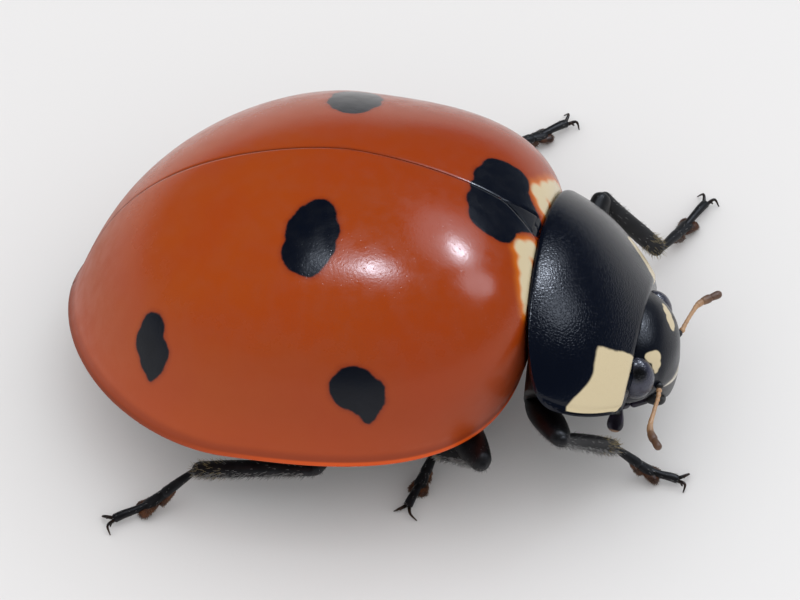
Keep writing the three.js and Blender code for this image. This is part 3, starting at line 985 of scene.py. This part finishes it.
LEGS = {
    "front_right": {
        "hip": (3.55, -0.5, -0.4),
        "knee": (4.12, -2.07, 0.29),
        "ankle": (4.65, -1.0, -0.57),
        "toe": (5.49, -0.93, -1.02),
    },
    "middle_right": {
        "hip": (2.5, -0.8, -0.45),
        "knee": (3.19, -2.27, -0.1),
        "ankle": (2.42, -1.25, -0.8),
        "toe": (2.2, -2.0, -1.2),
    },
    "hind_right": {
        "hip": (1.2, -0.8, -0.45),
        "knee": (1.07, -2.59, -0.32),
        "ankle": (-0.45, -2.35, -0.76),
        "toe": (-1.41, -2.87, -1.33),
    },
    "front_left": {
        "hip": (3.55, 0.5, -0.35),
        "knee": (3.9, 2.28, 0.85),
        "ankle": (4.62, 2.66, -0.18),
        "toe": (5.04, 3.88, -0.24),
    },
    "middle_left": {
        "hip": (2.5, 0.8, -0.35),
        "knee": (2.62, 2.7, -0.12),
        "ankle": (2.37, 4.18, 0.03),
        "toe": (3.01, 4.98, -0.09),
    },
    "hind_left": {
        "hip": (1.2, 0.8, -0.35),
        "knee": (0.95, 2.65, -0.2),
        "ankle": (-0.35, 3.3, -0.1),
        "toe": (-1.15, 4.0, -0.25),
    },
}
CLAW_BASE_HEIGHT = 0.08
PAD_HEIGHT = 0.06
CLAW_TIP_HEIGHT = 0.012
CLAW_SPLAY = radians(62)
LYING_WAY = 0.62  # share of the foot that slopes
LYING_HEIGHT = 0.115


def at_height(point, height):
    return np.array([point[0], point[1], height])


class Leg:
    """One leg's joints in floor millimetres, and its parts as limbs."""

    def __init__(self, name):
        joints = LEGS[name]
        self.name = name
        self.hip, self.knee, self.ankle = (stand(joints[key]) for key in ("hip", "knee", "ankle"))
        self.toe = at_height(stand(joints["toe"]), CLAW_BASE_HEIGHT)
        self.ankle[2] = max(self.ankle[2], 0.16)
        self.forward = unit((self.toe - self.ankle) * (1, 1, 0))
        self.across = np.cross(UP, self.forward)
        self.plane = unit(np.cross(self.knee - self.hip, self.ankle - self.knee))
        coxa = [mix(self.hip, self.knee, -0.14), mix(self.hip, self.knee, 0.1)]
        self.coxa = Limb(coxa, [0.13, 0.15], [0.12, 0.13], self.plane)
        thigh = [mix(self.hip, self.knee, way) for way in (0.06, 0.4, 0.75, 1.02)]
        in_plane = np.cross(self.plane, unit(self.knee - self.hip))
        self.femur = Limb(thigh, [0.17, 0.24, 0.21, 0.12], [0.12, 0.16, 0.14, 0.1], in_plane, 2.3)
        shin = [mix(self.knee, self.ankle, way) for way in (-0.03, 0.3, 0.7, 1.03)]
        bow = np.cross(self.plane, unit(self.ankle - self.knee))
        shin[1] = shin[1] + 0.03 * bow
        shin[2] = shin[2] + 0.02 * bow
        self.tibia = Limb(shin, [0.085, 0.11, 0.125, 0.11], [0.07, 0.09, 0.1, 0.085], bow, 2.2)

    def tarsus_at(self, way, height, aside=0.0):
        """A place over the line from ankle to claws, at its own height over the floor."""
        return at_height(mix(self.ankle, self.toe, way) + aside * self.across, height)

    def tarsus_height(self, way):
        """The foot slopes down from the ankle and lies along the floor from its second joint on."""
        return mix(self.ankle[2], LYING_HEIGHT, min(max(way, 0) / LYING_WAY, 1))

    def tarsus_limbs(self):
        """The long first joint, the second with its two lobes, and the claw joint that rises between them."""
        first = [(way, self.tarsus_height(way)) for way in (-0.02, 0.2, 0.42)]
        second = [(way, self.tarsus_height(way)) for way in (0.36, 0.64)]
        last = [(0.48, self.tarsus_height(0.5)), (0.7, 0.14), (0.88, 0.115), (1.0, CLAW_BASE_HEIGHT)]
        sizes = (
            ((0.04, 0.062, 0.078), (0.04, 0.055, 0.06)),
            ((0.065, 0.095), (0.055, 0.05)),
            ((0.04, 0.05, 0.058, 0.06), (0.038, 0.046, 0.052, 0.052)),
        )
        lines = [[self.tarsus_at(way, height) for way, height in joint] for joint in (first, second, last)]
        return [Limb(line, widths, depths, self.across) for line, (widths, depths) in zip(lines, sizes)]

    def pad_limbs(self):
        """The soft lobes under the first two joints, one on each side."""
        limbs = []
        for start, end, spread, size in ((0.26, 0.45, 0.04, 0.06), (0.46, 0.7, 0.062, 0.092)):
            for side in (-1, 1):
                root = self.tarsus_at(start, self.tarsus_height(start) - 0.03, side * 0.02)
                low = max(self.tarsus_height(end + 0.06) - 0.055, PAD_HEIGHT)
                tip = self.tarsus_at(end, low, side * spread)
                limbs.append(Limb([root, tip], [size * 0.7, size], [0.04, PAD_HEIGHT], self.across))
        return limbs

    def claw_limbs(self):
        """Two thin curved claws that reach down to the floor, each with a tooth at its root."""
        limbs = []
        for side, reach in ((-1, 0.17), (1, 0.21)):
            way = cos(CLAW_SPLAY) * self.forward + side * sin(CLAW_SPLAY) * self.across
            root = self.toe - self.forward * 0.02 + side * 0.02 * self.across
            middle = self.toe + way * reach * 0.5 + self.forward * 0.05 + UP * 0.02
            tip = at_height(self.toe + way * reach, CLAW_TIP_HEIGHT)
            limbs.append(Limb([root, middle, tip], [0.026, 0.017, 0.007], [0.028, 0.019, 0.007], self.across))
            tooth = mix(root, middle, 0.5)
            point = at_height(tooth + way * 0.05 - side * 0.02 * self.across, 0.045)
            limbs.append(Limb([tooth, point], [0.02, 0.008], [0.02, 0.008], self.across))
        return limbs


def limbs_surface(limbs, rings=26, sides=18):
    surface = Surface()
    for limb in limbs:
        limb.add_to(surface, rings, sides)
    return surface


# ---- Hairs -------------------------------------------------------------------------------------

TUFT_PATCH = 0.003  # width of each hair's patch on the OFBake map
HAIR_SIDES = 3
HAIR_CLEARANCE = 0.004  # over the floor
FACING_COSINE = 0.4


class Coat:
    """Fine solid hairs, gathered into one mesh with a patch each on the OFBake map."""

    def __init__(self, seed):
        self.random = np.random.default_rng(seed)
        self.roots, self.lines, self.widths, self.patches = [], [], [], []

    def add(self, roots, directions, lengths, widths, patches, droop=0.2, spread=0.25):
        """Hairs that leave their roots along the directions, and bend down by a share of their length."""
        count = len(roots)
        directions = unit(directions + self.random.normal(0, spread, (count, 3)))
        lengths = lengths * self.random.uniform(0.7, 1.15, count)
        bend = np.array([0, 0, -1.0]) * droop + self.random.normal(0, 0.1, (count, 3))
        middle = roots + directions * (lengths * 0.5)[:, None]
        tip = roots + (directions + bend) * lengths[:, None]
        line = np.stack([roots, middle + bend * (lengths * 0.12)[:, None], tip], 1)
        line[..., 2] = np.maximum(line[..., 2], HAIR_CLEARANCE)
        self.lines.append(line)
        self.widths.append(np.broadcast_to(widths, count))
        self.patches.append(patches)

    def on_limb(self, limb, count, length, width, ways, cell, lean=1.0, facing=None, **bends):
        """Hairs on part of a limb, all round it or on the side that faces one way, leaning to its end."""
        way = self.random.uniform(*ways, count)
        angle = self.random.uniform(0, 2 * pi, count)
        roots, outward, axis = limb.place(way, angle, -0.004)
        patches = np.stack([cell[0] + 0.1 * way, cell[1] + 0.1 * (angle / (2 * pi) % 1)], -1)
        keep = np.full(count, True) if facing is None else outward @ unit(facing) > FACING_COSINE
        self.add(roots[keep], (outward + lean * axis)[keep], length, width, patches[keep], **bends)

    def build(self, name, material, slot):
        lines = np.concatenate(self.lines)
        widths = np.concatenate(self.widths)
        patches = np.concatenate(self.patches)
        count = len(lines)
        axis = unit(lines[:, 2] - lines[:, 0])
        side = unit(np.cross(axis, (0.31, 0.2, 0.93)))
        top = np.cross(axis, side)
        angles = np.arange(HAIR_SIDES) * 2 * pi / HAIR_SIDES
        round_it = np.cos(angles)[:, None, None] * side + np.sin(angles)[:, None, None] * top
        base = lines[:, 0] + round_it * widths[:, None]
        middle = lines[:, 1] + round_it * widths[:, None] * 0.75
        points = np.concatenate([base, middle, lines[None, :, 2]]).transpose(1, 0, 2)
        corners = np.stack([np.cos(angles), np.sin(angles)], -1) * TUFT_PATCH / 2
        offsets = np.concatenate([corners, corners * 0.5, [(0, 0)]])
        places = patches[:, None] + offsets
        per_hair = 2 * HAIR_SIDES + 1
        faces = [(2, 1, 0)]
        for k in range(HAIR_SIDES):
            after = (k + 1) % HAIR_SIDES
            faces.append((k, after, HAIR_SIDES + after, HAIR_SIDES + k))
            faces.append((HAIR_SIDES + k, HAIR_SIDES + after, 2 * HAIR_SIDES))
        all_faces = [[index + per_hair * n for index in face] for n in range(count) for face in faces]
        mesh = bpy.data.meshes.new(name)
        flat = points.reshape(-1, 3)
        mesh.from_pydata((flat * MM).tolist(), [], all_faces)
        body = mesh.attributes.new("body", "FLOAT_VECTOR", "POINT")
        body.data.foreach_set("vector", unstand(flat).ravel())
        layer = mesh.uv_layers.new(name="OFBake")
        corner_points = np.zeros(len(mesh.loops), int)
        mesh.loops.foreach_get("vertex_index", corner_points)
        layer.data.foreach_set("uv", places.reshape(-1, 2)[corner_points].ravel())
        mesh.shade_smooth()
        mesh.materials.append(material)
        return enrol(name, mesh, slot)


def add_leg(number, name):
    leg = Leg(name)
    make_piece(f"femur_{name}_shell", limbs_surface([leg.coxa, leg.femur], 34, 26), leg_shell, "leg", f"femur_{name}")
    make_piece(f"tibia_{name}_shell", limbs_surface([leg.tibia], 40, 24), leg_shell, "leg", f"tibia_{name}")
    tarsus = leg.tarsus_limbs()
    make_piece(f"tarsus_{name}_shell", limbs_surface(tarsus), leg_shell, "leg", f"tarsus_{name}")
    make_piece(f"pads_{name}", limbs_surface(leg.pad_limbs(), 20, 16), pad_shell, "leg")
    make_piece(f"claws_{name}", limbs_surface(leg.claw_limbs(), 16, 10), claw_shell, "leg")

    outside = np.array([0, 0.7 if name.endswith("left") else -0.7, -0.7])
    coat = Coat(SEED + number)
    coat.on_limb(leg.femur, 420, 0.05, 0.0028, (0.3, 0.99), (0.02, 0.02), 1.5, outside, droop=0.0)
    coat.on_limb(leg.femur, 90, 0.04, 0.0025, (0.1, 0.98), (0.02, 0.02), 2.2, droop=0.0)
    coat.on_limb(leg.tibia, 1100, 0.085, 0.0036, (0.06, 0.98), (0.15, 0.02), 1.3, outside, droop=0.0)
    coat.on_limb(leg.tibia, 110, 0.05, 0.003, (0.08, 0.98), (0.15, 0.02), 1.9, droop=0.0)
    for index, limb in enumerate(tarsus):
        coat.on_limb(limb, 26, 0.045, 0.0025, (0.05, 0.95), (0.28 + 0.13 * index, 0.02), 2.0)
    coat.build(f"hairs_{name}", pale_hair, "leg")

    brush = Coat(SEED + 30 + number)
    brush.on_limb(leg.tibia, 130, 0.08, 0.003, (0.7, 1.0), (0.6, 0.2), 1.2, droop=0.0)
    brush.build(f"brush_{name}", gold_hair, "leg")

    soles = Coat(SEED + 10 + number)
    for index, limb in enumerate(leg.pad_limbs()):
        cell = (0.02 + 0.13 * index, 0.2)
        soles.on_limb(limb, 150, 0.028, 0.0035, (0.2, 1.0), cell, 1.0, droop=0.4)
    soles.build(f"soles_{name}", brown_hair, "leg")


def add_belly_hairs():
    coat = Coat(SEED + 20)
    count = 2600
    longitude = coat.random.uniform(-pi, pi, count)
    below = np.sqrt(coat.random.uniform(0.02, 0.98, count))
    roots = belly_point(longitude, 1 - below * 0.95, 0.0)
    ahead = belly_point(longitude, 1 - below * 0.95, 0.0) - (0.3, 0, 0.12)
    patches = np.stack([0.1 + 0.8 * (longitude / (2 * pi) + 0.5), 0.1 + 0.8 * below], -1)
    coat.add(stand(roots), stand(ahead) - stand(roots), 0.12, 0.0045, patches, droop=0.1)
    coat.build("hairs_belly", pale_hair, "underside")


# ---- Building the animal -------------------------------------------------------------------------

for side, name in ((1, "left"), (-1, "right")):
    make_piece(f"elytron_{name}_shell", wing_case_surface(side), wing_case, "wing_case", f"elytron_{name}")
    make_piece(f"eye_{name}_shell", eye_surface(side), eye_shell, "eye", f"eye_{name}")
    make_piece(f"antenna_{name}_shell", antenna_surface(name), antenna_shell, "feeler", f"antenna_{name}")
    make_piece(f"palp_{name}_shell", palp_surface(side), palp_shell, "underside", f"palp_{name}")
make_piece("scutellum_shell", scutellum_surface(), head_shell, "black_shell", "scutellum")
make_piece("pronotum_shell", shield_surface(), shield, "black_shell", "pronotum")
make_piece("prothorax_shell", breast_surface(), belly_shell, "underside", "prothorax")
make_piece("hind_body_shell", belly_surface(), belly_shell, "underside", "metathorax", "abdomen")
make_piece("head_shell", head_surface(), head_shell, "black_shell", "head")
make_piece("labrum", lip_surface(), lip_shell, "underside", "mouthparts")
make_piece("jaws", jaws_surface(), belly_shell, "underside")
for number, name in enumerate(LEGS):
    add_leg(number, name)
add_belly_hairs()

# ---- Floor, light and camera -----------------------------------------------------------------------


def add_floor():
    graph = Graph("floor")
    mesh = bpy.data.meshes.new("floor")
    reach = 0.4
    mesh.from_pydata([(-reach, -reach, 0), (reach, -reach, 0), (reach, reach, 0), (-reach, reach, 0)], [], [(0, 1, 2, 3)])
    mesh.materials.append(graph.finish(paint(220, 220, 221), 0.5))
    floor = bpy.data.objects.new("floor", mesh)
    scene.collection.objects.link(floor)


CAMERA = {
    "azimuth": radians(10.6),
    "elevation": radians(37.85),
    "roll": radians(1.16),
    "distance": 110.0,
    "pixels_per_mm": 78.5,
    "origin_pixel": (268.7, 314.6),
    "picture": (800, 600),
    "sensor": 36.0,
}


def camera_axes():
    """Right, up and backward of the view, in the body frame."""
    azimuth, elevation, roll = CAMERA["azimuth"], CAMERA["elevation"], CAMERA["roll"]
    right = np.array([cos(azimuth), sin(azimuth), 0])
    back = np.array([sin(azimuth) * cos(elevation), -cos(azimuth) * cos(elevation), sin(elevation)])
    up = np.cross(back, right)
    return cos(roll) * right + sin(roll) * up, cos(roll) * up - sin(roll) * right, back


def add_camera():
    right, up, back = camera_axes()
    focal_pixels = CAMERA["pixels_per_mm"] * CAMERA["distance"]
    width, height = CAMERA["picture"]
    across = (width / 2 - CAMERA["origin_pixel"][0]) / focal_pixels
    down = (height / 2 - CAMERA["origin_pixel"][1]) / focal_pixels
    away = TILT @ (back - across * right + down * up)
    backward = Vector(away).normalized()
    rightward = Vector(TILT @ up).cross(backward).normalized()
    upward = backward.cross(rightward)
    data = bpy.data.cameras.new("camera")
    data.sensor_width = CAMERA["sensor"]
    data.lens = focal_pixels * CAMERA["sensor"] / width
    data.clip_start = 0.002
    data.clip_end = 10
    camera = bpy.data.objects.new("camera", data)
    scene.collection.objects.link(camera)
    place = stand(back * CAMERA["distance"]) * MM
    turn = Matrix((rightward, upward, backward)).transposed().to_4x4()
    camera.matrix_world = Matrix.Translation(Vector(place)) @ turn
    scene.camera = camera


def mirror_direction(point):
    """The way from a point on the wing cases to what it mirrors to the camera, in the floor frame."""
    _, _, back = camera_axes()
    rows = np.linspace(0.02, 0.995, 300)
    turns = np.linspace(-pi, pi, 721)
    risen, lon = np.meshgrid(rows, turns, indexing="ij")
    grid = dome(lon, risen)
    gap = np.linalg.norm(grid - point, axis=-1)
    i, j = np.unravel_index(np.argmin(gap), gap.shape)
    i, j = np.clip(i, 1, len(rows) - 2), np.clip(j, 1, len(turns) - 2)
    normal = unit(np.cross(grid[i, j + 1] - grid[i, j - 1], grid[i + 1, j] - grid[i - 1, j]))
    view = unit(back * CAMERA["distance"] - point)
    return TILT @ (2 * (normal @ view) * normal - view)


def add_lamp(name, point, distance, size, radiance, colour=(0.86, 0.95, 1.1)):
    """A round lamp that gloss mirrors at a point on the wing cases, and that leaves dull surfaces alone."""
    direction = mirror_direction(np.array(point))
    data = bpy.data.lights.new(name, "AREA")
    data.shape = "ELLIPSE"
    data.size, data.size_y = size[0] * MM, size[1] * MM
    data.energy = radiance * pi * pi / 4 * data.size * data.size_y
    data.color = colour
    lamp = bpy.data.objects.new(name, data)
    scene.collection.objects.link(lamp)
    place = (stand(np.array(point)) + direction * distance) * MM
    lamp.location = place
    lamp.visible_diffuse = False
    lamp.rotation_euler = Vector(direction).to_track_quat("Z", "Y").to_euler()


SKY = {
    "soft": (1.26, 1.25, 1.24, 1),  # what dull surfaces are lit by from all round
    "horizon": (0.44, 0.51, 0.63, 1),  # what gloss mirrors low down
    "low": (0.07, 0.085, 0.11, 1),
    "overhead": (0.03, 0.032, 0.036, 1),
}


def add_sky():
    """Even soft light for dull surfaces, and a dark room with a paler horizon for gloss to mirror."""
    world = bpy.data.worlds.new("sky")
    world.use_nodes = True
    nodes, links = world.node_tree.nodes, world.node_tree.links
    where = nodes.new("ShaderNodeTexCoord")
    split = nodes.new("ShaderNodeSeparateXYZ")
    ramp = nodes.new("ShaderNodeValToRGB")
    room = nodes.new("ShaderNodeBackground")
    path = nodes.new("ShaderNodeLightPath")
    blend = nodes.new("ShaderNodeMixShader")
    soft = nodes["Background"]
    links.new(where.outputs["Generated"], split.inputs[0])
    links.new(split.outputs["Z"], ramp.inputs[0])
    links.new(ramp.outputs[0], room.inputs["Color"])
    links.new(path.outputs["Is Glossy Ray"], blend.inputs[0])
    links.new(soft.outputs[0], blend.inputs[1])
    links.new(room.outputs[0], blend.inputs[2])
    links.new(blend.outputs[0], nodes["World Output"].inputs["Surface"])
    soft.inputs["Color"].default_value = SKY["soft"]
    stops = ramp.color_ramp.elements
    stops[0].position, stops[0].color = 0.0, SKY["horizon"]
    stops[1].position, stops[1].color = 0.4, SKY["overhead"]
    stops.new(0.13).color = SKY["low"]
    # Without this, part of the soft light would also reach the gloss.
    world.cycles.sampling_method = "NONE"
    scene.world = world


add_floor()
add_camera()
add_sky()
add_lamp("lamp_rear", (1.66, -1.75, 2.33), 60, (8, 6), 74.0)
add_lamp("lamp_front", (2.62, -1.2, 2.36), 60, (9, 9), 58.0)
add_lamp("panel_front", (2.5, -1.1, 2.4), 75, (34, 50), 2.3)
add_lamp("panel_shield", (2.94, -1.5, 2.12), 75, (24, 34), 5.2)
scene.view_settings.view_transform = "Standard"
